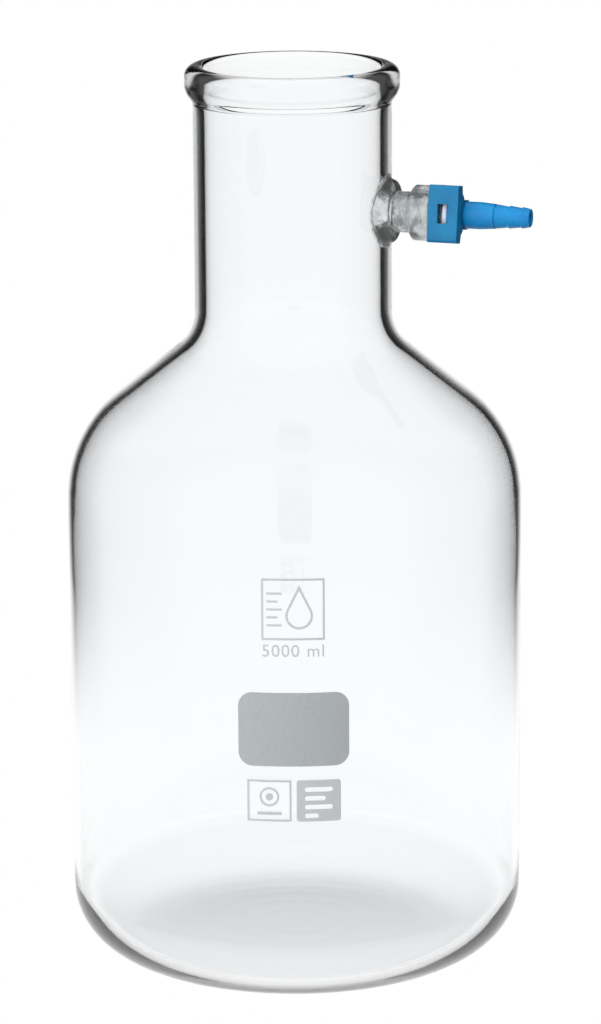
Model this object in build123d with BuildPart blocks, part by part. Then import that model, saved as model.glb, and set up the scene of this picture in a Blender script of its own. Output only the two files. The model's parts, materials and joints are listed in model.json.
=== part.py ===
from build123d import *
import math
import os

# Filtering (Buchner) flask, bottle shape, with a detachable hose connector on its side socket.
# Millimetres. Origin: centre of the base, in the plane it stands on. +Z up the flask's axis,
# +X along the side socket, towards the hose nozzle.

# --- Driving dimensions: the blown flask ---
BODY_RADIUS = 92.5
NECK_RADIUS = 39.8
RIM_RADIUS = 43.1
TOTAL_HEIGHT = 366.0
SHOULDER_Z = 215.1  # where the body's side line meets the shoulder cone's line
CONE_SLOPE = math.tan(math.radians(38.9))
HEEL_FILLET = 26.3
SHOULDER_FILLET = 50.9
NECK_FILLET = 18.9
BODY_WALL = 2.4
NECK_WALL = 4.6
CONE_WALL = 4.2
BASE_WALL = 4.5
# The wall thins from the shoulder down to this height, and then keeps the body's thickness.
TAPER_END_Z = 165.0
TAPER_FILLET = 600.0

# The base is pushed up in one slight dome inside a flat resting ring.
PUSH_UP = 2.0
PUSH_UP_CROWN_RADIUS = 26.0
PUSH_UP_FOOT_RADIUS = 57.0
PUSH_UP_CROWN_FILLET = 700.0
PUSH_UP_FOOT_FILLET = 150.0

# The rim is a heavy fire-polished bead.
RIM_NECK_Z = 351.5
RIM_SIDE_Z = 356.0
RIM_NECK_FILLET = 3.0
RIM_LOWER_FILLET = 8.0
RIM_TOP_FILLET = 4.2
RIM_MOUTH_FILLET = 2.2

# --- Driving dimensions: the side socket and what it holds, along its own axis ---
ARM_Z = 308.9
SOCKET_BORE_RADIUS = 6.2
FOOT_RADIUS = 13.5
FOOT_END_X = 43.4
FOOT_TOP_RADIUS = 12.0
FOOT_FILLET = 2.4
STUB_RADIUS = 8.2
COLLAR_RADIUS = 11.1
COLLAR_CHAMFER_X = 49.4
COLLAR_START_X = 51.4
COLLAR_END_X = 59.3
WAIST_RADIUS = 8.6
FLANGE_RADIUS = 9.4
GLASS_FLANGE_START_X = 62.1
GLASS_FLANGE_END_X = 64.6

SEAL_START_X = 64.7
SEAL_END_X = 66.6
SEAL_RADIUS = 9.2
SEAL_BORE_RADIUS = 6.0

SPIGOT_START_X = 58.5
SPIGOT_RADIUS = 5.9
PLUG_FLANGE_END_X = 69.3
GROOVE_RADIUS = 4.2
GROOVE_END_X = 72.3
NOZZLE_BORE_RADIUS = 2.4
NOZZLE_ROOT_RADIUS = 5.4
NOZZLE_LAND_END_X = 78.5
BARB_COUNT = 3
BARB_PITCH = 5.2
BARB_STEP = 0.35
BARB_START_X = 84.4
BARB_START_RADIUS = 4.8
BARB_TAPER = 0.27  # radius lost from one barb to the next
NOZZLE_TIP_X = 98.8
NOZZLE_TIP_RADIUS = 3.6

# --- Driving dimensions: the retaining clip ---
CLIP_START_X = 59.6
CLIP_END_X = 71.8
CLIP_PLATE = 2.2
CLIP_HALF_HEIGHT = 11.4
CLIP_INSIDE_HALF_HEIGHT = 9.8
CLIP_WALL_DEPTH = 6.0
CLIP_CORNER_FILLET = 1.5
CLIP_TILT = 10.0  # degrees that its closed side is turned up about the socket's axis
CLIP_FIT_GAP = 0.3
WAIST_FORK_END = -6.5  # where each fork's arms end, along the clip's own depth
GROOVE_FORK_END = -5.0
GROOVE_FORK_START = 4.2
GROOVE_FORK_HALF_HEIGHT = 5.9
CLIP_WINDOW_X = 65.6
CLIP_WINDOW_LENGTH = 4.2
CLIP_WINDOW_HEIGHT = 7.6

# --- Driving dimensions: the enamel marks fired on the body ---
ENAMEL = 0.2
MARK_AZIMUTH = -72.5  # degrees from +X: the side that the marks face
PANEL_Z = 117.7
PANEL_WIDTH = 43.8
PANEL_HEIGHT = 30.0
PANEL_FILLET = 5.7
CAPACITY_Z = 166.5
CAPACITY_SIZE = 24.8
SPEC_Z = 88.5
SPEC_WIDTH = 17.5
SPEC_HEIGHT = 17.0
SPEC_GAP = 2.0
MARK_LINE = 0.8


def cone_z(radius):
    """Height of the shoulder cone's outer line at a radius."""
    return SHOULDER_Z + (BODY_RADIUS - radius) * CONE_SLOPE


def inner_cone_z(radius):
    """Height of the shoulder cone's inner line at a radius."""
    return cone_z(radius) - CONE_WALL * math.hypot(1, CONE_SLOPE)


neck_bore = NECK_RADIUS - NECK_WALL
shoulder_bore = BODY_RADIUS - CONE_WALL
body_bore = BODY_RADIUS - BODY_WALL
arm_plane = Plane(origin=(0, 0, ARM_Z), x_dir=(1, 0, 0), z_dir=(0, -1, 0))
arm_axis = Axis((0, 0, ARM_Z), (1, 0, 0))

# --- flask_body: blown body, shoulder, neck and rim, turned about +Z ---
# Each corner is (radius, height, fillet), from the middle of the underside round to the inside.
flask_corners = [
    (PUSH_UP_CROWN_RADIUS, PUSH_UP, PUSH_UP_CROWN_FILLET),
    (PUSH_UP_FOOT_RADIUS, 0, PUSH_UP_FOOT_FILLET),
    (BODY_RADIUS, 0, HEEL_FILLET),
    (BODY_RADIUS, SHOULDER_Z, SHOULDER_FILLET),
    (NECK_RADIUS, cone_z(NECK_RADIUS), NECK_FILLET),
    (NECK_RADIUS, RIM_NECK_Z, RIM_NECK_FILLET),
    (RIM_RADIUS, RIM_SIDE_Z, RIM_LOWER_FILLET),
    (RIM_RADIUS, TOTAL_HEIGHT, RIM_TOP_FILLET),
    (neck_bore, TOTAL_HEIGHT, RIM_MOUTH_FILLET),
    (neck_bore, inner_cone_z(neck_bore), NECK_FILLET + CONE_WALL),
    (shoulder_bore, inner_cone_z(shoulder_bore), SHOULDER_FILLET - CONE_WALL),
    (body_bore, TAPER_END_Z, TAPER_FILLET),
    (body_bore, BASE_WALL, HEEL_FILLET - BODY_WALL),
    (PUSH_UP_FOOT_RADIUS, BASE_WALL, PUSH_UP_FOOT_FILLET),
    (PUSH_UP_CROWN_RADIUS, BASE_WALL + PUSH_UP, PUSH_UP_CROWN_FILLET),
]
with BuildPart() as flask_body:
    with BuildSketch(Plane.XZ):
        with BuildLine():
            FilletPolyline(
                (0, PUSH_UP),
                *[(radius, height) for radius, height, fillet_radius in flask_corners],
                (0, BASE_WALL + PUSH_UP),
                radius=[fillet_radius for radius, height, fillet_radius in flask_corners],
            )
            Line((0, BASE_WALL + PUSH_UP), (0, PUSH_UP))
        make_face()
    revolve(axis=Axis.Z)
    # The side socket opens through the neck's wall.
    with Locations((NECK_RADIUS, 0, ARM_Z)):
        Cylinder(SOCKET_BORE_RADIUS, 4 * NECK_WALL, rotation=(0, 90, 0), mode=Mode.SUBTRACT)

# --- side_socket: glass, fused to the neck by a round bead at its foot ---
# Each corner is (x, radius, fillet), from the foot out to the mouth.
socket_corners = [
    (FOOT_END_X, FOOT_TOP_RADIUS, FOOT_FILLET),
    (FOOT_END_X, STUB_RADIUS, 1.0),
    (COLLAR_CHAMFER_X, STUB_RADIUS, 1.0),
    (COLLAR_START_X, COLLAR_RADIUS, 1.0),
    (COLLAR_END_X, COLLAR_RADIUS, 0.6),
    (COLLAR_END_X, WAIST_RADIUS, 0.3),
    (GLASS_FLANGE_START_X, WAIST_RADIUS, 0.2),
    (GLASS_FLANGE_START_X, FLANGE_RADIUS, 0.3),
    (GLASS_FLANGE_END_X, FLANGE_RADIUS, 0.4),
]
with BuildPart() as side_socket:
    with BuildSketch(arm_plane):
        with BuildLine():
            Polyline(
                (neck_bore, SOCKET_BORE_RADIUS),
                (neck_bore, FOOT_RADIUS),
                (NECK_RADIUS, FOOT_RADIUS),
            )
            FilletPolyline(
                (NECK_RADIUS, FOOT_RADIUS),
                *[(x, radius) for x, radius, fillet_radius in socket_corners],
                (GLASS_FLANGE_END_X, SOCKET_BORE_RADIUS),
                radius=[fillet_radius for x, radius, fillet_radius in socket_corners],
            )
            Line((GLASS_FLANGE_END_X, SOCKET_BORE_RADIUS), (neck_bore, SOCKET_BORE_RADIUS))
        make_face()
    revolve(axis=arm_axis)
    # The foot follows the round of the neck.
    with Locations((0, 0, ARM_Z)):
        Cylinder(NECK_RADIUS, 4 * FOOT_RADIUS, mode=Mode.SUBTRACT)

# --- sealing_ring: elastomer between the two flanges ---
with BuildPart() as sealing_ring:
    with BuildSketch(Plane.YZ.offset(SEAL_START_X)):
        with Locations((0, ARM_Z)):
            Circle(SEAL_RADIUS)
            Circle(SEAL_BORE_RADIUS, mode=Mode.SUBTRACT)
    extrude(amount=SEAL_END_X - SEAL_START_X)

# --- hose_connector: spigot, flange, grooved hub and barbed nozzle, bored right through ---
barb_points = []
for index in range(BARB_COUNT):
    valley_x = BARB_START_X + index * BARB_PITCH
    crest_radius = BARB_START_RADIUS - index * BARB_TAPER
    barb_points += [
        (valley_x, crest_radius - BARB_STEP),
        (valley_x + BARB_STEP, crest_radius - BARB_STEP),
        (valley_x + 2 * BARB_STEP, crest_radius),
    ]
with BuildPart() as hose_connector:
    with BuildSketch(arm_plane):
        with BuildLine():
            Polyline(
                (SPIGOT_START_X, NOZZLE_BORE_RADIUS),
                (SPIGOT_START_X, SPIGOT_RADIUS - BARB_STEP),
                (SPIGOT_START_X + BARB_STEP, SPIGOT_RADIUS),
                (SEAL_END_X, SPIGOT_RADIUS),
                (SEAL_END_X, FLANGE_RADIUS),
                (PLUG_FLANGE_END_X, FLANGE_RADIUS),
                (PLUG_FLANGE_END_X, GROOVE_RADIUS),
                (GROOVE_END_X, GROOVE_RADIUS),
                (GROOVE_END_X, NOZZLE_ROOT_RADIUS),
                (NOZZLE_LAND_END_X, NOZZLE_ROOT_RADIUS),
                (BARB_START_X, BARB_START_RADIUS + BARB_TAPER / 2),
                *barb_points,
                (NOZZLE_TIP_X, NOZZLE_TIP_RADIUS),
                (NOZZLE_TIP_X, NOZZLE_BORE_RADIUS),
                close=True,
            )
        make_face()
    revolve(axis=arm_axis)

# --- retaining_clip: a channel with two forked ends, open on the far side ---
# Its plane looks along the socket's axis: local +X points out of the clip's closed side.
tilt = math.radians(CLIP_TILT)
clip_out = (0, -math.cos(tilt), math.sin(tilt))


def clip_plane(x):
    """The plane across the socket's axis at x, turned with the clip."""
    return Plane(origin=(x, 0, ARM_Z), x_dir=clip_out, z_dir=(1, 0, 0))


# Each end plate: (start, slot radius, half height of its arms, where they start, where they end),
# the last two measured along local X. It is wide at the closed side and slotted to the far side.
fork_root = CLIP_HALF_HEIGHT - CLIP_WALL_DEPTH
forks = [
    (CLIP_START_X, WAIST_RADIUS + CLIP_FIT_GAP, CLIP_HALF_HEIGHT, 0, WAIST_FORK_END),
    (
        CLIP_END_X - CLIP_PLATE,
        GROOVE_RADIUS + CLIP_FIT_GAP,
        GROOVE_FORK_HALF_HEIGHT,
        GROOVE_FORK_START,
        GROOVE_FORK_END,
    ),
]
clip_length = CLIP_END_X - CLIP_START_X
with BuildPart() as retaining_clip:
    for start_x, slot_radius, arm_height, arm_start, arm_end in forks:
        with BuildSketch(clip_plane(start_x)):
            with BuildLine():
                Polyline(
                    (CLIP_HALF_HEIGHT, -CLIP_HALF_HEIGHT),
                    (CLIP_HALF_HEIGHT, CLIP_HALF_HEIGHT),
                    (fork_root, CLIP_HALF_HEIGHT),
                    (arm_start, arm_height),
                    (arm_end, arm_height),
                    (arm_end, -arm_height),
                    (arm_start, -arm_height),
                    (fork_root, -CLIP_HALF_HEIGHT),
                    close=True,
                )
            make_face()
            Circle(slot_radius, mode=Mode.SUBTRACT)
            with Locations((arm_end, 0)):
                Rectangle(-2 * arm_end, 2 * slot_radius, mode=Mode.SUBTRACT)
        extrude(amount=CLIP_PLATE)
    with BuildSketch(clip_plane(CLIP_START_X)):
        with Locations((fork_root, 0)):
            Rectangle(CLIP_WALL_DEPTH, 2 * CLIP_HALF_HEIGHT, align=(Align.MIN, Align.CENTER))
            Rectangle(
                CLIP_WALL_DEPTH - CLIP_HALF_HEIGHT + CLIP_INSIDE_HALF_HEIGHT,
                2 * CLIP_INSIDE_HALF_HEIGHT,
                align=(Align.MIN, Align.CENTER),
                mode=Mode.SUBTRACT,
            )
    extrude(amount=clip_length)
    long_edges = retaining_clip.edges().filter_by(Axis.X)
    closed_side = long_edges.sort_by(Axis(arm_plane.origin, clip_out))[-2:]
    fillet(closed_side, CLIP_CORNER_FILLET)
    with BuildSketch(clip_plane(CLIP_WINDOW_X)):
        with Locations((CLIP_HALF_HEIGHT, 0)):
            Rectangle(CLIP_WALL_DEPTH, CLIP_WINDOW_HEIGHT)
    extrude(amount=CLIP_WINDOW_LENGTH / 2, both=True, mode=Mode.SUBTRACT)

# --- Enamel marks: thin skins on the body's side ---
mark_angle = math.radians(MARK_AZIMUTH)
mark_out = (math.cos(mark_angle), math.sin(mark_angle), 0)
mark_side = (-math.sin(mark_angle), math.cos(mark_angle), 0)


def mark_plane(z):
    """The upright plane through the flask's axis that faces the marked side, at height z."""
    return Plane(origin=(0, 0, z), x_dir=mark_side, z_dir=mark_out)


# A mark is drawn on that plane, pushed out through the body's side, and cut to the enamel's thickness.
with BuildPart() as writing_panel:
    with BuildSketch(mark_plane(PANEL_Z)):
        RectangleRounded(PANEL_WIDTH, PANEL_HEIGHT, PANEL_FILLET)
    extrude(amount=BODY_RADIUS + 1)
    Cylinder(BODY_RADIUS + ENAMEL, 2 * TOTAL_HEIGHT, mode=Mode.INTERSECT)
    Cylinder(BODY_RADIUS, 2 * TOTAL_HEIGHT, mode=Mode.SUBTRACT)

with BuildPart() as capacity_mark:
    with BuildSketch(mark_plane(CAPACITY_Z)):
        Rectangle(CAPACITY_SIZE, CAPACITY_SIZE)
        offset(amount=-MARK_LINE, kind=Kind.INTERSECTION, mode=Mode.SUBTRACT)
    extrude(amount=BODY_RADIUS + 1)
    Cylinder(BODY_RADIUS + ENAMEL, 2 * TOTAL_HEIGHT, mode=Mode.INTERSECT)
    Cylinder(BODY_RADIUS, 2 * TOTAL_HEIGHT, mode=Mode.SUBTRACT)

with BuildPart() as spec_marks:
    with BuildSketch(mark_plane(SPEC_Z)):
        with GridLocations(SPEC_WIDTH + SPEC_GAP, 0, 2, 1):
            Rectangle(SPEC_WIDTH, SPEC_HEIGHT)
            Rectangle(SPEC_WIDTH - 2 * MARK_LINE, SPEC_HEIGHT - 2 * MARK_LINE, mode=Mode.SUBTRACT)
    extrude(amount=BODY_RADIUS + 1)
    Cylinder(BODY_RADIUS + ENAMEL, 2 * TOTAL_HEIGHT, mode=Mode.INTERSECT)
    Cylinder(BODY_RADIUS, 2 * TOTAL_HEIGHT, mode=Mode.SUBTRACT)

# --- Files ---
pieces = {
    "flask_body": flask_body,
    "side_socket": side_socket,
    "sealing_ring": sealing_ring,
    "hose_connector": hose_connector,
    "retaining_clip": retaining_clip,
    "writing_panel": writing_panel,
    "capacity_mark": capacity_mark,
    "spec_marks": spec_marks,
}
os.makedirs("parts", exist_ok=True)
for name, piece in pieces.items():
    piece.part.label = name
    export_step(piece.part, f"parts/{name}.step")
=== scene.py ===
"""Looks of the filtering flask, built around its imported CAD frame. Metres; +Z up, +X along the socket."""
import json
import math

import bmesh
import bpy
from mathutils import Matrix, Vector


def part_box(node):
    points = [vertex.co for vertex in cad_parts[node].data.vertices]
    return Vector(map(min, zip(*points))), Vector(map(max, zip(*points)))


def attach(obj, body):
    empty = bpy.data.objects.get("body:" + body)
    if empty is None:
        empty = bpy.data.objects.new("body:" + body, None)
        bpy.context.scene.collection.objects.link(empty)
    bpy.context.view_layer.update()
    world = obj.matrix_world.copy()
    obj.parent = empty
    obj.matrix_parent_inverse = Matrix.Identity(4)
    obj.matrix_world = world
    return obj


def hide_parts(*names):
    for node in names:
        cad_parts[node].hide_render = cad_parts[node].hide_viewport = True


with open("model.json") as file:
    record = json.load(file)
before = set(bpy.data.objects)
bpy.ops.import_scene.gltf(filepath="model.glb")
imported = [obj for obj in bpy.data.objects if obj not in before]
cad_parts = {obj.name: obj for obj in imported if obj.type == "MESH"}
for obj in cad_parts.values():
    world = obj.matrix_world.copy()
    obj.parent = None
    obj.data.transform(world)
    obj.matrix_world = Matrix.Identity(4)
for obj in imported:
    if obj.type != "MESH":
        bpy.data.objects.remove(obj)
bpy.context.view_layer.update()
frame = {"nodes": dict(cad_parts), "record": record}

# --- Sizes read from the frame ---
flask_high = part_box("flask_body")[1]
socket_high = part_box("side_socket")[1]
seal_low, seal_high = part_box("sealing_ring")
plug_low, plug_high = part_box("hose_connector")
panel_low, panel_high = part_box("writing_panel")
capacity_low, capacity_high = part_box("capacity_mark")
spec_low, spec_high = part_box("spec_marks")
mounts = {mount["name"]: mount for mount in frame["record"]["mounts"]}

MM = 0.001
TOUCH = 1e-6  # places closer than this are the same
BODY_RADIUS = flask_high.x
TOTAL_HEIGHT = flask_high.z
NECK_BORE = mounts["neck_mouth"]["dims"]["r_mm"] * MM
ARM_Z = mounts["hose_nozzle"]["pos_m"][2]
NOZZLE_LAND_RADIUS = mounts["hose_nozzle"]["dims"]["r_mm"] * MM

# --- The blown flask's own sizes ---
NECK_RADIUS = 39.8 * MM
RIM_RADIUS = 43.1 * MM
SHOULDER_Z = 215.1 * MM
CONE_SLOPE = math.tan(math.radians(38.9))
HEEL_FILLET = 26.3 * MM
SHOULDER_FILLET = 50.9 * MM
NECK_FILLET = 18.9 * MM
BODY_WALL = 2.4 * MM
CONE_WALL = 4.2 * MM
BASE_WALL = 4.5 * MM
SCUFF_TOP = 4.0 * MM  # the underside is scuffed up to here, from standing
TAPER_END_Z = 165.0 * MM
TAPER_FILLET = 600.0 * MM
PUSH_UP = 2.0 * MM
PUSH_UP_CROWN_RADIUS = 26.0 * MM
PUSH_UP_FOOT_RADIUS = 57.0 * MM
PUSH_UP_CROWN_FILLET = 700.0 * MM
PUSH_UP_FOOT_FILLET = 150.0 * MM
RIM_NECK_Z = 351.5 * MM
RIM_SIDE_Z = 356.0 * MM
RIM_FILLETS = [3.0 * MM, 8.0 * MM, 4.2 * MM, 2.2 * MM]  # neck, lower side, top, mouth

# --- The side socket, along its own axis ---
SOCKET_BORE = 6.2 * MM
BORE_ROUND = 1.5 * MM
FOOT_BLEND_RADIUS = 15.0 * MM
FOOT_RADIUS = 13.5 * MM
FOOT_ROUND = 0.8 * MM
FOOT_END_X = 43.4 * MM
FOOT_TOP_RADIUS = 12.0 * MM
FOOT_TOP_ROUND = 2.4 * MM
STUB_RADIUS = 8.2 * MM
STUB_ROUND = 1.0 * MM
COLLAR_CHAMFER_X = 49.4 * MM
COLLAR_START_X = 51.4 * MM
COLLAR_END_X = 59.3 * MM
COLLAR_RADIUS = 11.1 * MM
COLLAR_ROUND = 0.6 * MM
WAIST_RADIUS = 8.6 * MM
WAIST_ROUND = 0.3 * MM
FLANGE_START_X = 62.1 * MM
FLANGE_RADIUS = 9.4 * MM
FLANGE_ROOT_ROUND = 0.2 * MM
FLANGE_BACK_ROUND = 0.3 * MM
MOUTH_ROUND = 0.4 * MM
BORE_BLEND_RADIUS = 9.5 * MM
SADDLE_DEPTH = 5.5 * MM  # the socket's rings follow the round of the neck over this height
BORE_SADDLE_DEPTH = 4.0 * MM

# --- The sealing ring and the hose connector, along the same axis ---
SEAL_RADIUS = 9.2 * MM
SEAL_BORE = 6.0 * MM
SEAL_ROUND = 0.5 * MM
SPIGOT_RADIUS = 5.9 * MM
PLUG_FLANGE_END_X = 69.3 * MM
GROOVE_RADIUS = 4.2 * MM
GROOVE_END_X = 72.3 * MM
NOZZLE_BORE = 2.4 * MM
NOZZLE_LAND_END_X = 78.5 * MM
LAND_START_ROUND = 0.5 * MM
LAND_END_ROUND = 3.0 * MM
BARB_COUNT = 3
BARB_PITCH = 5.2 * MM
BARB_STEP = 0.35 * MM
BARB_START_X = 84.4 * MM
BARB_START_RADIUS = 4.8 * MM
BARB_TAPER = 0.27 * MM
BARB_ROUND = 0.15 * MM
CREST_ROUND = 0.2 * MM
NOZZLE_TIP_RADIUS = 3.6 * MM
TIP_ROUND = 0.4 * MM
SMALL_ROUND = 0.25 * MM

# --- The clip's edges ---
CLIP_ROUND = 0.35 * MM
CLIP_ROUND_STEPS = 3
CLIP_EDGE_ANGLE = math.radians(35)  # edges that turn by more than this are rounded
CLIP_FLAT_ANGLE = math.radians(1)  # faces that differ by less than this are one face

# --- The enamel marks ---
ENAMEL = 0.2 * MM
ENAMEL_LIFT = 0.02 * MM  # keeps the enamel's inner face just off the glass
MARK_AZIMUTH = math.radians(-72.5)
MARK_CUT = 1.0  # mm between the cuts that let a mark bend round the body
PANEL_WIDTH, PANEL_HEIGHT, PANEL_CORNER = 43.8, 30.0, 5.7  # mm
MARK_LINE = 0.8  # mm
JOIN_IN_MARK = 0.001  # mm; a drawn mark's corners closer than this become one

# --- How finely the pieces are divided ---
TURN_STEPS = 192
SMALL_TURN_STEPS = 96
WINDOW_STEPS = 15  # steps of the turn, and rows, in half of the neck's window round the socket
WINDOW_HALF_HEIGHT = 19.0 * MM
WINDOW_RINGS = 8
CIRCLE_STEPS = 48
DROP_STEPS = 40
ARC_STEP = math.radians(6)
FEWEST_ARC_STEPS = 4
LONGEST_SPAN = 5.0 * MM
LONGEST_SOCKET_SPAN = 1.5 * MM


def cone_z(radius):
    """Height of the shoulder cone's outer line at a radius."""
    return SHOULDER_Z + (BODY_RADIUS - radius) * CONE_SLOPE


def inner_cone_z(radius):
    """Height of the shoulder cone's inner line at a radius."""
    return cone_z(radius) - CONE_WALL * math.hypot(1, CONE_SLOPE)


def smooth_step(value):
    """0 below 0, 1 above 1, and a smooth rise between them."""
    value = min(max(value, 0.0), 1.0)
    return value * value * (3 - 2 * value)


def rounded(corners, closed=False):
    """The points of a line through (a, b, radius) corners, each of which becomes an arc of its radius."""
    points = []
    for index, (a, b, radius) in enumerate(corners):
        corner = Vector((a, b))
        at_end = not closed and index in (0, len(corners) - 1)
        if at_end or not radius:
            points.append(corner)
            continue
        before = Vector(corners[index - 1][:2]) - corner
        after = Vector(corners[(index + 1) % len(corners)][:2]) - corner
        half = before.angle(after) / 2
        centre = corner + (before.normalized() + after.normalized()).normalized() * radius / math.sin(half)
        start = corner + before.normalized() * radius / math.tan(half) - centre
        turn = math.pi - 2 * half
        if before.x * after.y - before.y * after.x > 0:
            turn = -turn
        steps = max(FEWEST_ARC_STEPS, math.ceil(abs(turn) / ARC_STEP))
        for step in range(steps + 1):
            angle = turn * step / steps
            points.append(centre + Vector((
                start.x * math.cos(angle) - start.y * math.sin(angle),
                start.x * math.sin(angle) + start.y * math.cos(angle),
            )))
    return points


def divided(points, longest):
    """The same line, with points added so that no span is longer than the given length."""
    result = [points[0]]
    for start, end in zip(points, points[1:]):
        count = max(1, math.ceil((end - start).length / longest))
        result += [start.lerp(end, step / count) for step in range(1, count + 1)]
    return result


def made_object(name, bm, body, replaced, materials, smooth=True):
    """A shown piece from a bmesh, which rides on a body, stands for CAD nodes and takes a slot's finish."""
    bmesh.ops.recalc_face_normals(bm, faces=bm.faces)
    for face in bm.faces:
        face.smooth = smooth
    mesh = bpy.data.meshes.new(name)
    bm.to_mesh(mesh)
    bm.free()
    for material in materials:
        mesh.materials.append(material)
    piece = bpy.data.objects.new(name, mesh)
    bpy.context.scene.collection.objects.link(piece)
    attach(piece, body)
    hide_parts(*replaced)
    return piece


# --- Materials ---
GLASS_IOR = 1.473
SCUFFED_ROUGHNESS = 0.15
CLEAR, MOULDED, SCUFFED = range(3)  # the places of the glass's materials


def new_material(name):
    """A material with only a Principled shader: its nodes, its links and the shader."""
    material = bpy.data.materials.new(name)
    material.use_nodes = True
    tree = material.node_tree
    return material, tree.nodes, tree.links, tree.nodes["Principled BSDF"]


def add_noise(nodes, links, scale, detail, stretch=(1, 1, 1)):
    """A noise texture in the object's own coordinates. Returns the noise node."""
    place = nodes.new("ShaderNodeTexCoord")
    mapping = nodes.new("ShaderNodeMapping")
    mapping.inputs["Scale"].default_value = stretch
    noise = nodes.new("ShaderNodeTexNoise")
    noise.inputs["Scale"].default_value = scale
    noise.inputs["Detail"].default_value = detail
    links.new(place.outputs["Object"], mapping.inputs["Vector"])
    links.new(mapping.outputs["Vector"], noise.inputs["Vector"])
    return noise


def add_bump(nodes, links, shader, height, strength, distance):
    """A bump from a height socket to the shader's normal."""
    bump = nodes.new("ShaderNodeBump")
    bump.inputs["Strength"].default_value = strength
    bump.inputs["Distance"].default_value = distance
    links.new(height, bump.inputs["Height"])
    links.new(bump.outputs["Normal"], shader.inputs["Normal"])


def add_ramp(nodes, links, value, stops):
    """A colour ramp over (position, grey or colour) stops, fed by a value socket. Returns the ramp node."""
    ramp = nodes.new("ShaderNodeValToRGB")
    elements = ramp.color_ramp.elements
    while len(elements) < len(stops):
        elements.new(0.5)
    for element, (position, colour) in zip(elements, stops):
        element.position = position
        element.color = (*colour, 1) if hasattr(colour, "__len__") else (colour, colour, colour, 1)
    links.new(value, ramp.inputs["Fac"])
    return ramp


def clear_glass(name, roughness):
    """Blown borosilicate: clear, with the faint waves of blown glass, fire polished or a little scuffed."""
    material, nodes, links, shader = new_material(name)
    shader.inputs["Base Color"].default_value = (0.985, 0.993, 1.0, 1)
    shader.inputs["Roughness"].default_value = roughness
    shader.inputs["IOR"].default_value = GLASS_IOR
    shader.inputs["Transmission Weight"].default_value = 1.0
    waves = add_noise(nodes, links, scale=14, detail=1, stretch=(1, 1, 0.4))
    add_bump(nodes, links, shader, waves.outputs["Fac"], strength=0.25, distance=0.0006)
    return material


def moulded_glass():
    """The pressed socket: the same glass, greyed and blurred by the rippled skin that its mould left."""
    material, nodes, links, shader = new_material("moulded_glass")
    cloud = add_noise(nodes, links, scale=190, detail=3)
    greys = [(0.38, (0.6, 0.64, 0.64)), (0.62, (0.95, 0.97, 0.98))]
    tint = add_ramp(nodes, links, cloud.outputs["Fac"], greys)
    links.new(tint.outputs["Color"], shader.inputs["Base Color"])
    shader.inputs["IOR"].default_value = GLASS_IOR
    shader.inputs["Transmission Weight"].default_value = 0.95
    shader.inputs["Roughness"].default_value = 0.2
    ripples = add_noise(nodes, links, scale=420, detail=3)
    add_bump(nodes, links, shader, ripples.outputs["Fac"], strength=0.7, distance=0.0008)
    return material


def moulded_plastic(name, colour, dark_colour, roughness):
    """Satin polypropylene: fine grained, a little uneven in colour and gloss, and lets some light in."""
    material, nodes, links, shader = new_material(name)
    cloud = add_noise(nodes, links, scale=120, detail=3)
    tint = add_ramp(nodes, links, cloud.outputs["Fac"], [(0.35, dark_colour), (0.65, colour)])
    links.new(tint.outputs["Color"], shader.inputs["Base Color"])
    shader.inputs["Subsurface Weight"].default_value = 0.15
    shader.inputs["Subsurface Radius"].default_value = (0.1, 0.5, 1.0)
    shader.inputs["Subsurface Scale"].default_value = 0.001
    shader.inputs["Specular IOR Level"].default_value = 0.35
    grain = add_noise(nodes, links, scale=2600, detail=4)
    gloss = add_ramp(nodes, links, grain.outputs["Fac"], [(0.3, roughness - 0.06), (0.7, roughness + 0.06)])
    links.new(gloss.outputs["Color"], shader.inputs["Roughness"])
    add_bump(nodes, links, shader, grain.outputs["Fac"], strength=0.35, distance=0.0001)
    return material


def silicone():
    """The whitish elastomer of the sealing ring."""
    material, nodes, links, shader = new_material("silicone")
    cloud = add_noise(nodes, links, scale=900, detail=3)
    whites = [(0.3, (0.66, 0.66, 0.72)), (0.7, (0.78, 0.78, 0.84))]
    tint = add_ramp(nodes, links, cloud.outputs["Fac"], whites)
    links.new(tint.outputs["Color"], shader.inputs["Base Color"])
    shader.inputs["Roughness"].default_value = 0.55
    shader.inputs["Subsurface Weight"].default_value = 0.3
    shader.inputs["Subsurface Scale"].default_value = 0.002
    add_bump(nodes, links, shader, cloud.outputs["Fac"], strength=0.2, distance=0.0001)
    return material


def enamel(name, colour, dark_colour):
    """Fired-on matt enamel, with the speckle of its powder."""
    material, nodes, links, shader = new_material(name)
    speckle = add_noise(nodes, links, scale=1500, detail=5)
    tint = add_ramp(nodes, links, speckle.outputs["Fac"], [(0.3, dark_colour), (0.7, colour)])
    links.new(tint.outputs["Color"], shader.inputs["Base Color"])
    shader.inputs["Roughness"].default_value = 0.7
    add_bump(nodes, links, shader, speckle.outputs["Fac"], strength=0.3, distance=0.0001)
    return material


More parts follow.
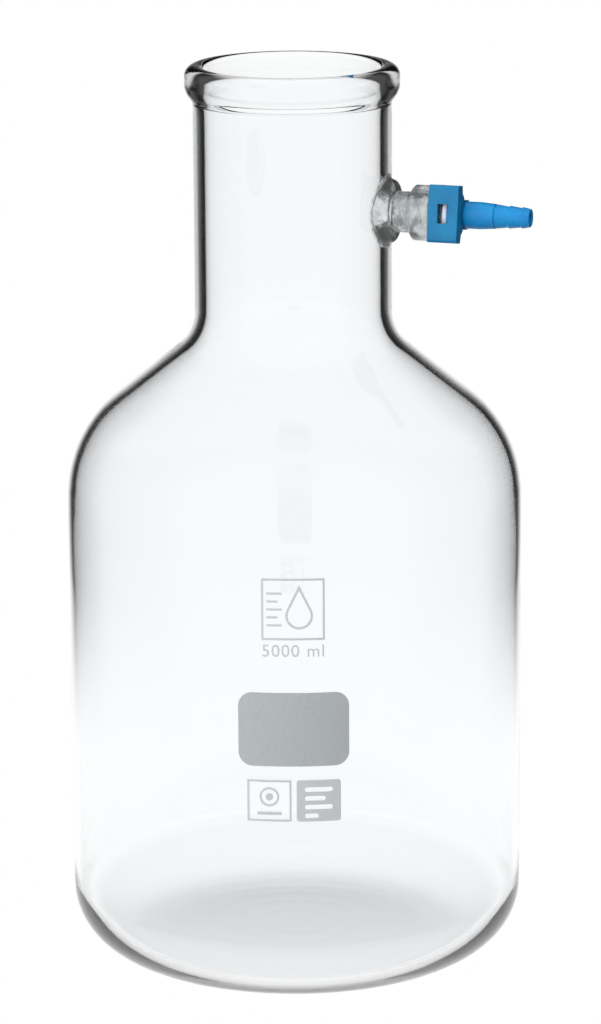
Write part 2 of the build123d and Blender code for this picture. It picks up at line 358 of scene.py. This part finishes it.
# --- The glass: one fused piece ---
def flask_profile():
    """The flask's outline from the middle of the underside to the middle of the floor inside."""
    neck_window = [ARM_Z - WINDOW_HALF_HEIGHT + WINDOW_HALF_HEIGHT * row / WINDOW_STEPS
                   for row in range(2 * WINDOW_STEPS + 1)]
    shoulder_bore, body_bore = BODY_RADIUS - CONE_WALL, BODY_RADIUS - BODY_WALL
    neck_round, side_round, top_round, mouth_round = RIM_FILLETS
    return rounded([
        (0, PUSH_UP, 0),
        (PUSH_UP_CROWN_RADIUS, PUSH_UP, PUSH_UP_CROWN_FILLET),
        (PUSH_UP_FOOT_RADIUS, 0, PUSH_UP_FOOT_FILLET),
        (BODY_RADIUS, 0, HEEL_FILLET),
        (BODY_RADIUS, SHOULDER_Z, SHOULDER_FILLET),
        (NECK_RADIUS, cone_z(NECK_RADIUS), NECK_FILLET),
        *[(NECK_RADIUS, z, 0) for z in neck_window],
        (NECK_RADIUS, RIM_NECK_Z, neck_round),
        (RIM_RADIUS, RIM_SIDE_Z, side_round),
        (RIM_RADIUS, TOTAL_HEIGHT, top_round),
        (NECK_BORE, TOTAL_HEIGHT, mouth_round),
        *[(NECK_BORE, z, 0) for z in reversed(neck_window)],
        (NECK_BORE, inner_cone_z(NECK_BORE), NECK_FILLET + CONE_WALL),
        (shoulder_bore, inner_cone_z(shoulder_bore), SHOULDER_FILLET - CONE_WALL),
        (body_bore, TAPER_END_Z, TAPER_FILLET),
        (body_bore, BASE_WALL, HEEL_FILLET - BODY_WALL),
        (PUSH_UP_FOOT_RADIUS, BASE_WALL, PUSH_UP_FOOT_FILLET),
        (PUSH_UP_CROWN_RADIUS, BASE_WALL + PUSH_UP, PUSH_UP_CROWN_FILLET),
        (0, BASE_WALL + PUSH_UP, 0),
    ])


def socket_profile():
    """The socket's outline (x, radius) from the neck's outside, over the mouth, to the neck's inside."""
    mouth_x = socket_high.x
    return rounded([
        (NECK_RADIUS, FOOT_BLEND_RADIUS, 0),
        (NECK_RADIUS, FOOT_RADIUS, FOOT_ROUND),
        (FOOT_END_X, FOOT_TOP_RADIUS, FOOT_TOP_ROUND),
        (FOOT_END_X, STUB_RADIUS, STUB_ROUND),
        (COLLAR_CHAMFER_X, STUB_RADIUS, STUB_ROUND),
        (COLLAR_START_X, COLLAR_RADIUS, STUB_ROUND),
        (COLLAR_END_X, COLLAR_RADIUS, COLLAR_ROUND),
        (COLLAR_END_X, WAIST_RADIUS, WAIST_ROUND),
        (FLANGE_START_X, WAIST_RADIUS, FLANGE_ROOT_ROUND),
        (FLANGE_START_X, FLANGE_RADIUS, FLANGE_BACK_ROUND),
        (mouth_x, FLANGE_RADIUS, MOUTH_ROUND),
        (mouth_x, SOCKET_BORE, MOUTH_ROUND),
        (NECK_BORE, SOCKET_BORE, BORE_ROUND),
        (NECK_BORE, BORE_BLEND_RADIUS, 0),
    ])


def on_neck(y, z, surface_radius):
    """The point of the neck's surface straight out along +X from (y, z)."""
    return Vector((math.sqrt(surface_radius ** 2 - y ** 2), y, z))


def window_edge(rows):
    """The vertices round the neck's window, in order, from its rows of vertices."""
    span = range(-WINDOW_STEPS, WINDOW_STEPS + 1)
    low, high = rows[0], rows[-1]
    edge = [low[step] for step in span]
    edge += [row[WINDOW_STEPS] for row in rows[1:-1]]
    edge += [high[step] for step in reversed(span)]
    edge += [row[-WINDOW_STEPS] for row in reversed(rows[1:-1])]
    return edge


def bridge(bm, first, second, material_index=CLEAR):
    """Quads between two closed loops of as many vertices."""
    count = len(first)
    for index in range(count):
        after = (index + 1) % count
        face = bm.faces.new((first[index], first[after], second[after], second[index]))
        face.material_index = material_index


def glass_mesh():
    """Flask and socket as one closed surface: a turned profile with the socket's rings in its window."""
    bm = bmesh.new()
    points = divided(flask_profile(), LONGEST_SPAN)
    rows, windows = [], {NECK_RADIUS: [], NECK_BORE: []}
    for point in points[1:-1]:
        row = [bm.verts.new((
            point.x * math.cos(math.tau * step / TURN_STEPS),
            point.x * math.sin(math.tau * step / TURN_STEPS),
            point.y,
        )) for step in range(TURN_STEPS)]
        rows.append(row)
        for radius, window in windows.items():
            if abs(point.x - radius) < TOUCH and abs(point.y - ARM_Z) < WINDOW_HALF_HEIGHT + TOUCH:
                window.append(row)
    # Outside the window, quads from row to row; a fan closes each end of the profile on the axis.
    for below, above in zip(rows, rows[1:]):
        in_window = any(
            any(below is row for row in window) and any(above is row for row in window)
            for window in windows.values()
        )
        for step in range(TURN_STEPS):
            if in_window and (step < WINDOW_STEPS or step >= TURN_STEPS - WINDOW_STEPS):
                continue
            after = (step + 1) % TURN_STEPS
            bm.faces.new((below[step], below[after], above[after], above[step]))
    for row, point in ((rows[0], points[0]), (rows[-1], points[-1])):
        middle = bm.verts.new((0, 0, point.y))
        for step in range(TURN_STEPS):
            bm.faces.new((row[step], row[(step + 1) % TURN_STEPS], middle))
    # The socket's rings start at the outer window's edge and end at the inner one's.
    outer_edge = window_edge(windows[NECK_RADIUS])
    inner_edge = window_edge(windows[NECK_BORE][::-1])
    angles = [math.atan2(vert.co.z - ARM_Z, vert.co.y) for vert in outer_edge]

    def blend_rings(edge, ring_radius, surface_radius):
        """Rings on the neck's surface, from the window's edge to a circle round the socket."""
        rings = []
        for ring in range(1, WINDOW_RINGS):
            share = ring / WINDOW_RINGS
            rings.append([bm.verts.new(on_neck(
                vert.co.y * (1 - share) + ring_radius * math.cos(angle) * share,
                (vert.co.z - ARM_Z) * (1 - share) + ring_radius * math.sin(angle) * share + ARM_Z,
                surface_radius,
            )) for vert, angle in zip(edge, angles)])
        return rings

    line = divided(socket_profile(), LONGEST_SOCKET_SPAN)
    mouth = max(range(len(line)), key=lambda index: line[index].x)
    socket_rings = []
    for index, point in enumerate(line):
        outside = index < mouth
        surface_radius = NECK_RADIUS if outside else NECK_BORE
        depth = SADDLE_DEPTH if outside else BORE_SADDLE_DEPTH
        saddle = 1 - smooth_step((point.x - surface_radius) / depth)
        ring = []
        for angle in angles:
            y = point.y * math.cos(angle)
            drop = surface_radius - math.sqrt(surface_radius ** 2 - y ** 2)
            ring.append(bm.verts.new((point.x - saddle * drop, y, ARM_Z + point.y * math.sin(angle))))
        socket_rings.append(ring)
    smooth_rings = blend_rings(outer_edge, FOOT_BLEND_RADIUS, NECK_RADIUS)
    bore_rings = blend_rings(inner_edge, BORE_BLEND_RADIUS, NECK_BORE)
    loops = [outer_edge, *smooth_rings, *socket_rings, *reversed(bore_rings), inner_edge]
    foot = len(smooth_rings) + 1
    last = foot + len(socket_rings) - 1
    for index, (first, second) in enumerate(zip(loops, loops[1:])):
        bridge(bm, first, second, MOULDED if foot <= index < last else CLEAR)
    # The vertices inside the windows, which no face uses, go.
    bmesh.ops.delete(bm, geom=[vert for vert in bm.verts if not vert.link_faces], context="VERTS")
    for face in bm.faces:
        if max(vert.co.z for vert in face.verts) < SCUFF_TOP:
            face.material_index = SCUFFED
    return bm


made_object(
    "glass_flask", glass_mesh(), "flask", ["flask_body", "side_socket"],
    [clear_glass("clear_glass", 0.0), moulded_glass(), clear_glass("scuffed_base", SCUFFED_ROUGHNESS)],
)


def turned(name, corners, replaced, material):
    """A piece on the connector, turned from a closed (x, radius, rounding) outline about the socket's axis."""
    bm = bmesh.new()
    rings = [[bm.verts.new((
        point.x,
        point.y * math.cos(math.tau * step / SMALL_TURN_STEPS),
        ARM_Z + point.y * math.sin(math.tau * step / SMALL_TURN_STEPS),
    )) for step in range(SMALL_TURN_STEPS)] for point in rounded(corners, closed=True)]
    for first, second in zip(rings, rings[1:] + rings[:1]):
        bridge(bm, first, second)
    return made_object(name, bm, "connector", replaced, [material])


# --- The sealing ring and the hose connector ---
turned("elastomer_ring", [
    (seal_low.x, SEAL_BORE, SEAL_ROUND),
    (seal_low.x, SEAL_RADIUS, SEAL_ROUND),
    (seal_high.x, SEAL_RADIUS, SEAL_ROUND),
    (seal_high.x, SEAL_BORE, SEAL_ROUND),
], ["sealing_ring"], silicone())

barb_corners = []
for index in range(BARB_COUNT):
    valley_x = BARB_START_X + index * BARB_PITCH
    crest_radius = BARB_START_RADIUS - index * BARB_TAPER
    barb_corners += [
        (valley_x, crest_radius - BARB_STEP, BARB_ROUND),
        (valley_x + BARB_STEP, crest_radius - BARB_STEP, BARB_ROUND),
        (valley_x + 2 * BARB_STEP, crest_radius, CREST_ROUND),
    ]
turned("hose_nozzle", [
    (plug_low.x, NOZZLE_BORE, SMALL_ROUND),
    (plug_low.x, SPIGOT_RADIUS - BARB_STEP, BARB_ROUND),
    (plug_low.x + BARB_STEP, SPIGOT_RADIUS, BARB_ROUND),
    (seal_high.x, SPIGOT_RADIUS, SMALL_ROUND),
    (seal_high.x, FLANGE_RADIUS, SMALL_ROUND),
    (PLUG_FLANGE_END_X, FLANGE_RADIUS, SMALL_ROUND),
    (PLUG_FLANGE_END_X, GROOVE_RADIUS, SMALL_ROUND),
    (GROOVE_END_X, GROOVE_RADIUS, SMALL_ROUND),
    (GROOVE_END_X, NOZZLE_LAND_RADIUS, LAND_START_ROUND),
    (NOZZLE_LAND_END_X, NOZZLE_LAND_RADIUS, LAND_END_ROUND),
    (BARB_START_X, BARB_START_RADIUS + BARB_TAPER / 2, BARB_ROUND),
    *barb_corners,
    (plug_high.x, NOZZLE_TIP_RADIUS, TIP_ROUND),
    (plug_high.x, NOZZLE_BORE, SMALL_ROUND),
], ["hose_connector"], moulded_plastic(
    "nozzle_plastic", colour=(0.0, 0.26, 0.6), dark_colour=(0.0, 0.21, 0.52), roughness=0.34,
))


# --- The retaining clip: the CAD solid with its edges rounded as a mould leaves them ---
def rounded_clip():
    """The clip from its CAD mesh, cleaned and bevelled."""
    bm = bmesh.new()
    bm.from_mesh(frame["nodes"]["retaining_clip"].data)
    bmesh.ops.remove_doubles(bm, verts=bm.verts, dist=TOUCH)
    bmesh.ops.dissolve_limit(bm, angle_limit=CLIP_FLAT_ANGLE, verts=bm.verts, edges=bm.edges)
    for layer in list(bm.loops.layers.uv.values()):
        bm.loops.layers.uv.remove(layer)
    piece = made_object("snap_clip", bm, "clip", ["retaining_clip"], [moulded_plastic(
        "clip_plastic", colour=(0.0, 0.2, 0.42), dark_colour=(0.0, 0.155, 0.35), roughness=0.4,
    )])
    bevel = piece.modifiers.new("rounded_edges", "BEVEL")
    bevel.width = CLIP_ROUND
    bevel.segments = CLIP_ROUND_STEPS
    bevel.limit_method = "ANGLE"
    bevel.angle_limit = CLIP_EDGE_ANGLE
    normals = piece.modifiers.new("even_shading", "WEIGHTED_NORMAL")
    normals.keep_sharp = False


rounded_clip()


# --- Enamel marks: flat shapes in mm, bent round the body ---
def box_outline(width, height, middle=(0, 0), corner=0.0):
    """A rectangle's outline about a middle, with rounded corners if a corner radius is given."""
    u, v = middle
    return [tuple(point) for point in rounded([
        (u - width / 2, v - height / 2, corner),
        (u + width / 2, v - height / 2, corner),
        (u + width / 2, v + height / 2, corner),
        (u - width / 2, v + height / 2, corner),
    ], closed=True)]


def circle_outline(radius, middle):
    """A circle's outline about a middle."""
    return [(
        middle[0] + radius * math.cos(math.tau * step / CIRCLE_STEPS),
        middle[1] + radius * math.sin(math.tau * step / CIRCLE_STEPS),
    ) for step in range(CIRCLE_STEPS)]


def drop_outline(radius, tip, middle):
    """A liquid drop: a circle below, drawn up to a point at a height of tip above its middle."""
    touch = math.acos(radius / tip)  # where the straight sides leave the circle, measured from straight up
    arc = [math.pi / 2 + touch + (math.tau - 2 * touch) * step / DROP_STEPS for step in range(DROP_STEPS + 1)]
    return [(middle[0], middle[1] + tip)] + [
        (middle[0] + radius * math.cos(angle), middle[1] + radius * math.sin(angle)) for angle in arc
    ]


def filled(outlines):
    """A flat filled shape, as curve data; an outline inside another is a hole."""
    curve = bpy.data.curves.new("flat_shape", "CURVE")
    curve.dimensions = "2D"
    curve.fill_mode = "BOTH"
    for outline in outlines:
        spline = curve.splines.new("POLY")
        spline.points.add(len(outline) - 1)
        spline.use_cyclic_u = True
        for point, (u, v) in zip(spline.points, outline):
            point.co = (u, v, 0, 1)
    return curve


def lettered(words, size, middle):
    """Generic lettering, as curve data."""
    curve = bpy.data.curves.new("lettering", "FONT")
    curve.body = words
    curve.size = size
    curve.space_character = 1.1
    curve.align_x, curve.align_y = "CENTER", "CENTER"
    curve.offset_x, curve.offset_y = middle
    return curve


def fired_mark(name, shapes, middle_z, node, material):
    """Flat shapes as one thin skin of enamel round the body at a height. It stands for a CAD mark."""
    bm = bmesh.new()
    for shape in shapes:
        drawn = bpy.data.objects.new("drawn", shape)
        mesh = bpy.data.meshes.new_from_object(drawn)
        bm.from_mesh(mesh)
        bpy.data.objects.remove(drawn)
        bpy.data.meshes.remove(mesh)
    bmesh.ops.remove_doubles(bm, verts=bm.verts, dist=JOIN_IN_MARK)
    places = [vert.co.x for vert in bm.verts]
    for cut in range(math.ceil(min(places) / MARK_CUT), math.ceil(max(places) / MARK_CUT)):
        bmesh.ops.bisect_plane(
            bm, geom=bm.verts[:] + bm.edges[:] + bm.faces[:],
            plane_co=(cut * MARK_CUT, 0, 0), plane_no=(1, 0, 0),
        )
    grown = bmesh.ops.extrude_face_region(bm, geom=bm.faces[:], use_keep_orig=True)
    outer = {part for part in grown["geom"] if isinstance(part, bmesh.types.BMVert)}
    for vert in bm.verts:
        radius = BODY_RADIUS + (ENAMEL if vert in outer else ENAMEL_LIFT)
        angle = MARK_AZIMUTH + vert.co.x * MM / BODY_RADIUS
        vert.co = (radius * math.cos(angle), radius * math.sin(angle), middle_z + vert.co.y * MM)
    return made_object(name, bm, "flask", [node], [material], smooth=False)


panel_enamel = enamel("panel_enamel", colour=(0.42, 0.445, 0.46), dark_colour=(0.36, 0.385, 0.4))
mark_enamel = enamel("mark_enamel", colour=(0.56, 0.585, 0.6), dark_colour=(0.48, 0.505, 0.52))
fired_mark(
    "pencil_panel", [filled([box_outline(PANEL_WIDTH, PANEL_HEIGHT, corner=PANEL_CORNER)])],
    (panel_low.z + panel_high.z) / 2, "writing_panel", panel_enamel,
)

# The capacity mark: five level lines, long and short in turn, beside a drop in a square frame. All in mm.
frame_size = (capacity_high.z - capacity_low.z) / MM
drop_middle = (2.4, -2.6)
level_lines = [
    box_outline(6.0 - 1.6 * (index % 2), MARK_LINE, (-7.4 - 0.8 * (index % 2), 6.4 - 3.2 * index))
    for index in range(5)
]
letter_size, letter_drop = 7.0, 4.6
fired_mark("volume_mark", [
    filled([box_outline(frame_size, frame_size),
            box_outline(frame_size - 2 * MARK_LINE, frame_size - 2 * MARK_LINE)]),
    filled([drop_outline(5.4, 12.4, drop_middle), drop_outline(4.5, 10.3, drop_middle)]),
    *[filled([line]) for line in level_lines],
    lettered("5000 ml", letter_size, (0, -frame_size / 2 - letter_drop)),
], (capacity_low.z + capacity_high.z) / 2, "capacity_mark", mark_enamel)

# The marks below the panel: a ring, a dot and a bar in a frame, and a block with bars cut out. All in mm.
plate_height = (spec_high.z - spec_low.z) / MM
plate_width, plate_gap = 17.5, 2.0
left_u, right_u = -(plate_width + plate_gap) / 2, (plate_width + plate_gap) / 2
target_middle, target_radius = (left_u, 1.6), 3.9
bar_height, bar_corner, longest_bar = 1.9, 0.9, 11.0
bars = [
    box_outline(length, bar_height, (right_u + (length - longest_bar) / 2, height), bar_corner)
    for length, height in ((longest_bar, 4.6), (8.2, 1.0), (longest_bar, -2.6), (5.4, -6.2))
]
fired_mark("grade_marks", [
    filled([box_outline(plate_width, plate_height, (left_u, 0)),
            box_outline(plate_width - 2 * MARK_LINE, plate_height - 2 * MARK_LINE, (left_u, 0))]),
    filled([circle_outline(target_radius, target_middle),
            circle_outline(target_radius - MARK_LINE, target_middle)]),
    filled([circle_outline(1.5, target_middle)]),
    filled([box_outline(9.6, 1.2, (left_u, -5.2))]),
    filled([box_outline(plate_width, plate_height, (right_u, 0), 1.2), *bars]),
], (spec_low.z + spec_high.z) / 2, "spec_marks", mark_enamel)


# --- Camera ---
VIEW_AZIMUTH = math.radians(18.0)
VIEW_ELEVATION = math.radians(14.15)
VIEW_DISTANCE = 1.769
VIEW_ROLL = math.radians(0.336)
VIEW_RIGHT, VIEW_DOWN = 2.35 * MM, 0.7 * MM  # how far the view's centre is from the object's centre
SENSOR_WIDTH, FOCAL_LENGTH = 36, 152.3  # mm
back = Vector((
    math.sin(VIEW_AZIMUTH) * math.cos(VIEW_ELEVATION),
    -math.cos(VIEW_AZIMUTH) * math.cos(VIEW_ELEVATION),
    math.sin(VIEW_ELEVATION),
))
right = Vector((0, 0, 1)).cross(back).normalized()
up = back.cross(right)
camera_data = bpy.data.cameras.new("camera")
camera_data.sensor_width = SENSOR_WIDTH
camera_data.lens = FOCAL_LENGTH
camera = bpy.data.objects.new("camera", camera_data)
bpy.context.scene.collection.objects.link(camera)
object_middle = Vector((0, 0, TOTAL_HEIGHT / 2))
camera.location = object_middle + back * VIEW_DISTANCE + right * VIEW_RIGHT - up * VIEW_DOWN
camera.rotation_mode = "QUATERNION"
rolled_up = up * math.cos(VIEW_ROLL) + right * math.sin(VIEW_ROLL)
rolled_right = right * math.cos(VIEW_ROLL) - up * math.sin(VIEW_ROLL)
axes = [rolled_right, rolled_up, back]
camera.rotation_quaternion = Matrix([[axis[row] for axis in axes] for row in range(3)]).to_quaternion()
bpy.context.scene.camera = camera


# --- The studio: white to look at, but with dark gaps round a lit backdrop for mirrored rays ---
# Its angles are from a fixed way, the photograph's view, which stays the same when the camera moves.
BACKDROP_INSIDE, BACKDROP_EDGE = math.radians(4), math.radians(26)  # from straight away from the viewer
FRONT_INSIDE, FRONT_EDGE = math.radians(55), math.radians(80)  # from straight towards the viewer
DARK, FRONT_GLOW = 0.02, 0.5
OUTSIDE_INSIDE, OUTSIDE_EDGE = math.radians(108), math.radians(128)  # from straight towards the viewer
OUTSIDE_GLOW = 0.8  # what the outside's own reflections see, but for the dark gaps
LEVEL_RISE, RAISED_RISE = -0.1, 0.15  # the upward part of a ray that still is level, and that is raised
LEVEL_GLOW, RAISED_GLOW = 0.7, 0.02  # what reflections off the far walls see level and from above
KEY_FAR, KEY_NEAR = -0.1, 0.9  # the part of a ray along the key light's way: in its shade, in its light
KEY_LIGHT, KEY_SHADE = 2.0, 0.08  # what matt surfaces get from the key light's way, and from elsewhere
MIRRORED = 0.5  # more glossy bounces than this: a mirrored ray
WENT_IN, WENT_THROUGH = 0.5, 3.5  # more glass surfaces passed than this: any, or two whole walls
FLOOR_GLOW = 0.35  # how much of its light the floor gives to matt pieces
FLOOR_RADIUS = 0.7
FLOOR_FADE = 0.3  # where the floor starts to fade into the white round it
FLOOR_STEPS = 64
FLOOR_DROP = 0.3 * MM
key_way = (back * 0.7 - right * 0.6 + up * 0.4).normalized()


def facing(nodes, links, rays, way):
    """How far a ray goes along a fixed way: 1 straight along it, -1 straight against it."""
    product = nodes.new("ShaderNodeVectorMath")
    product.operation = "DOT_PRODUCT"
    product.inputs[1].default_value = way
    links.new(rays, product.inputs[0])
    return product.outputs["Value"]


def rise(nodes, links, value, start, end, low, high):
    """A smooth change from low to high as a value goes from start to end."""
    step = nodes.new("ShaderNodeMapRange")
    step.interpolation_type = "SMOOTHSTEP"
    for socket, number in zip(("From Min", "From Max", "To Min", "To Max"), (start, end, low, high)):
        step.inputs[socket].default_value = number
    links.new(value, step.inputs["Value"])
    return step.outputs["Result"]


def chosen(nodes, links, when, otherwise, value):
    """One of two strengths: value where the first socket is 1, and otherwise where it is 0."""
    mix = nodes.new("ShaderNodeMix")
    links.new(when, mix.inputs[0])
    for slot, source in ((2, otherwise), (3, value)):
        if isinstance(source, float):
            mix.inputs[slot].default_value = source
        else:
            links.new(source, mix.inputs[slot])
    return mix.outputs[0]


def combined(nodes, links, operation, first, second):
    """Two values through one Math node; the second may be a number."""
    math_node = nodes.new("ShaderNodeMath")
    math_node.operation = operation
    links.new(first, math_node.inputs[0])
    if isinstance(second, float):
        math_node.inputs[1].default_value = second
    else:
        links.new(second, math_node.inputs[1])
    return math_node.outputs[0]


def make_studio():
    """The world's strength for each way that a ray may have come: straight, mirrored, in a wall or matt."""
    world = bpy.data.worlds.new("studio")
    world.use_nodes = True
    bpy.context.scene.world = world
    world.cycles.sampling_method = "NONE"
    nodes, links = world.node_tree.nodes, world.node_tree.links
    path = nodes.new("ShaderNodeLightPath")
    rays = nodes.new("ShaderNodeTexCoord").outputs["Generated"]
    along = facing(nodes, links, rays, -back)
    backdrop = rise(nodes, links, along, math.cos(BACKDROP_EDGE), math.cos(BACKDROP_INSIDE), DARK, 1.0)
    front = rise(nodes, links, along, -math.cos(FRONT_EDGE), -math.cos(FRONT_INSIDE), 0.0, FRONT_GLOW)
    sides = rise(nodes, links, along, -math.cos(OUTSIDE_EDGE), -math.cos(OUTSIDE_INSIDE), 0.0, OUTSIDE_GLOW)
    outside = combined(nodes, links, "ADD", backdrop, sides)
    in_wall = combined(nodes, links, "ADD", backdrop, front)
    upward = facing(nodes, links, rays, (0, 0, 1))
    far_wall = rise(nodes, links, upward, LEVEL_RISE, RAISED_RISE, LEVEL_GLOW, RAISED_GLOW)
    towards_key = facing(nodes, links, rays, key_way)
    key = rise(nodes, links, towards_key, KEY_FAR, KEY_NEAR, KEY_SHADE, KEY_LIGHT)
    # Rays that enter the glass, are mirrored in its wall and leave draw the dark lines; the rest stay pale.
    went_in = combined(nodes, links, "GREATER_THAN", path.outputs["Transmission Depth"], WENT_IN)
    went_through = combined(nodes, links, "GREATER_THAN", path.outputs["Transmission Depth"], WENT_THROUGH)
    mirrored = chosen(nodes, links, went_in, outside, chosen(nodes, links, went_through, in_wall, far_wall))
    was_mirrored = combined(nodes, links, "GREATER_THAN", path.outputs["Glossy Depth"], MIRRORED)
    seen = chosen(nodes, links, was_mirrored, 1.0, mirrored)
    lit = chosen(nodes, links, path.outputs["Is Diffuse Ray"], seen, key)
    background = nodes["Background"]
    background.inputs["Color"].default_value = (1, 1, 1, 1)
    links.new(lit, background.inputs["Strength"])


def make_floor():
    """A plain white floor under the flask, which fades out all round."""
    bm = bmesh.new()
    bmesh.ops.create_circle(bm, cap_ends=True, radius=FLOOR_RADIUS, segments=FLOOR_STEPS)
    for vert in bm.verts:
        vert.co.z = -FLOOR_DROP
    mesh = bpy.data.meshes.new("floor")
    bm.to_mesh(mesh)
    bm.free()
    material = bpy.data.materials.new("pale_floor")
    material.use_nodes = True
    nodes, links = material.node_tree.nodes, material.node_tree.links
    nodes.remove(nodes["Principled BSDF"])
    distance = nodes.new("ShaderNodeVectorMath")
    distance.operation = "LENGTH"
    links.new(nodes.new("ShaderNodeTexCoord").outputs["Object"], distance.inputs[0])
    fade = nodes.new("ShaderNodeMixShader")
    gone = rise(nodes, links, distance.outputs["Value"], FLOOR_FADE, FLOOR_RADIUS, 0.0, 1.0)
    links.new(gone, fade.inputs[0])
    glow = nodes.new("ShaderNodeEmission")
    matt = nodes.new("ShaderNodeLightPath").outputs["Is Diffuse Ray"]
    links.new(rise(nodes, links, matt, 0.0, 1.0, 1.0, FLOOR_GLOW), glow.inputs["Strength"])
    links.new(glow.outputs["Emission"], fade.inputs[1])
    links.new(nodes.new("ShaderNodeBsdfTransparent").outputs["BSDF"], fade.inputs[2])
    links.new(fade.outputs["Shader"], nodes["Material Output"].inputs["Surface"])
    material.cycles.emission_sampling = "NONE"
    mesh.materials.append(material)
    floor = bpy.data.objects.new("floor", mesh)
    bpy.context.scene.collection.objects.link(floor)


make_studio()
make_floor()

scene = bpy.context.scene
scene.view_settings.view_transform = "Standard"
scene.cycles.max_bounces = 32
scene.cycles.transmission_bounces = 32
scene.cycles.glossy_bounces = 16
